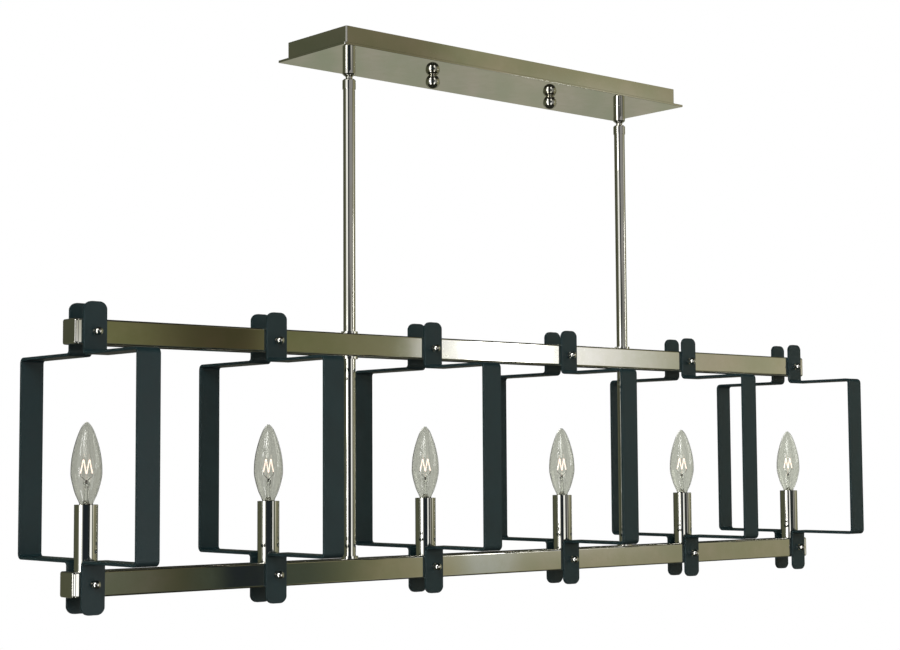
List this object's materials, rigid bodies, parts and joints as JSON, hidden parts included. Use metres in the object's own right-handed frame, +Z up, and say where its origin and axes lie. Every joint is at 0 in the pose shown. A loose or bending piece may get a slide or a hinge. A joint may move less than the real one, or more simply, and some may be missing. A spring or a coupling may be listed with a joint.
{
  "type": "linear island pendant light",
  "caption": "Linear pendant light: split strap hoops clamped on twin square bars, a candle lamp in each hoop, swivelling downrods under a long canopy.",
  "frame": {"origin": "middle of the canopy's open rim, in the plane of the ceiling", "axes": "+Z up out of the canopy towards the ceiling, +X along the bars to the right as seen from the front, -Y towards the front"},
  "size_m": [1.122, 0.227, 0.6125],
  "materials": {
    "polished_nickel": "mirror-polished warm nickel plate",
    "black_strap": "matt black powder coat",
    "zinc_steel": "dull zinc plate",
    "earth_green": "green passivated screw",
    "wire_insulation": "dark lead insulation",
    "socket_body": "black moulded phenolic",
    "lamp_glass": "clear blown glass"
  },
  "bodies": {
    "canopy": {"canopy_pan": "polished_nickel", "canopy_plate": "polished_nickel", "mounting_crossbar": "zinc_steel", "crossbar_studs": "zinc_steel", "stud_lock_nuts": "zinc_steel", "ground_screw": "earth_green", "swivel_nipples": "zinc_steel", "swivel_lock_nuts": "zinc_steel", "supply_leads": "wire_insulation", "swivel_socket_left": "polished_nickel", "swivel_socket_right": "polished_nickel"},
    "hanging_frame": {"swivel_stem_left": "polished_nickel", "swivel_stem_right": "polished_nickel", "downrod_left": "polished_nickel", "downrod_right": "polished_nickel", "spacer_tube_left": "polished_nickel", "spacer_tube_right": "polished_nickel", "rod_rings": "polished_nickel", "rod_nipples": "zinc_steel", "upper_bar": "polished_nickel", "lower_bar": "polished_nickel", "upper_bar_end_caps": "polished_nickel", "lower_bar_end_caps": "polished_nickel", "bar_lock_nuts": "zinc_steel", "hoop_bolts": "polished_nickel", "hoop_ball_nuts": "polished_nickel", "socket_nipples": "zinc_steel", "lamp_leads": "wire_insulation", "hoop_1_front": "black_strap", "hoop_1_rear": "black_strap", "hoop_2_front": "black_strap", "hoop_2_rear": "black_strap", "hoop_3_front": "black_strap", "hoop_3_rear": "black_strap", "hoop_4_front": "black_strap", "hoop_4_rear": "black_strap", "hoop_5_front": "black_strap", "hoop_5_rear": "black_strap", "hoop_6_front": "black_strap", "hoop_6_rear": "black_strap", "candle_sleeve_1": "polished_nickel", "candle_sleeve_2": "polished_nickel", "candle_sleeve_3": "polished_nickel", "candle_sleeve_4": "polished_nickel", "candle_sleeve_5": "polished_nickel", "candle_sleeve_6": "polished_nickel", "lamp_socket_1": "socket_body", "lamp_socket_2": "socket_body", "lamp_socket_3": "socket_body", "lamp_socket_4": "socket_body", "lamp_socket_5": "socket_body", "lamp_socket_6": "socket_body"},
    "knob_left": {"canopy_knob_left": "polished_nickel"},
    "knob_right": {"canopy_knob_right": "polished_nickel"},
    "lamp_1": {"bulb_1": "lamp_glass"},
    "lamp_2": {"bulb_2": "lamp_glass"},
    "lamp_3": {"bulb_3": "lamp_glass"},
    "lamp_4": {"bulb_4": "lamp_glass"},
    "lamp_5": {"bulb_5": "lamp_glass"},
    "lamp_6": {"bulb_6": "lamp_glass"}
  },
  "joints": [
    {"name": "frame_swing", "type": "hinge", "parent": "canopy", "child": "hanging_frame", "pos_m": [0, 0, -0.0365], "axis": [1, 0, 0], "range_deg": [-20, 20]},
    {"name": "knob_left_turn", "type": "hinge", "parent": "canopy", "child": "knob_left", "pos_m": [-0.094, 0, -0.0287], "axis": [0, 0, 1], "continuous": true},
    {"name": "knob_right_turn", "type": "hinge", "parent": "canopy", "child": "knob_right", "pos_m": [0.094, 0, -0.0287], "axis": [0, 0, 1], "continuous": true},
    {"name": "lamp_1_turn", "type": "hinge", "parent": "hanging_frame", "child": "lamp_1", "pos_m": [-0.54, 0, -0.5086], "axis": [0, 0, 1], "continuous": true},
    {"name": "lamp_2_turn", "type": "hinge", "parent": "hanging_frame", "child": "lamp_2", "pos_m": [-0.324, 0, -0.5086], "axis": [0, 0, 1], "continuous": true},
    {"name": "lamp_3_turn", "type": "hinge", "parent": "hanging_frame", "child": "lamp_3", "pos_m": [-0.108, 0, -0.5086], "axis": [0, 0, 1], "continuous": true},
    {"name": "lamp_4_turn", "type": "hinge", "parent": "hanging_frame", "child": "lamp_4", "pos_m": [0.108, 0, -0.5086], "axis": [0, 0, 1], "continuous": true},
    {"name": "lamp_5_turn", "type": "hinge", "parent": "hanging_frame", "child": "lamp_5", "pos_m": [0.324, 0, -0.5086], "axis": [0, 0, 1], "continuous": true},
    {"name": "lamp_6_turn", "type": "hinge", "parent": "hanging_frame", "child": "lamp_6", "pos_m": [0.54, 0, -0.5086], "axis": [0, 0, 1], "continuous": true}
  ]
}
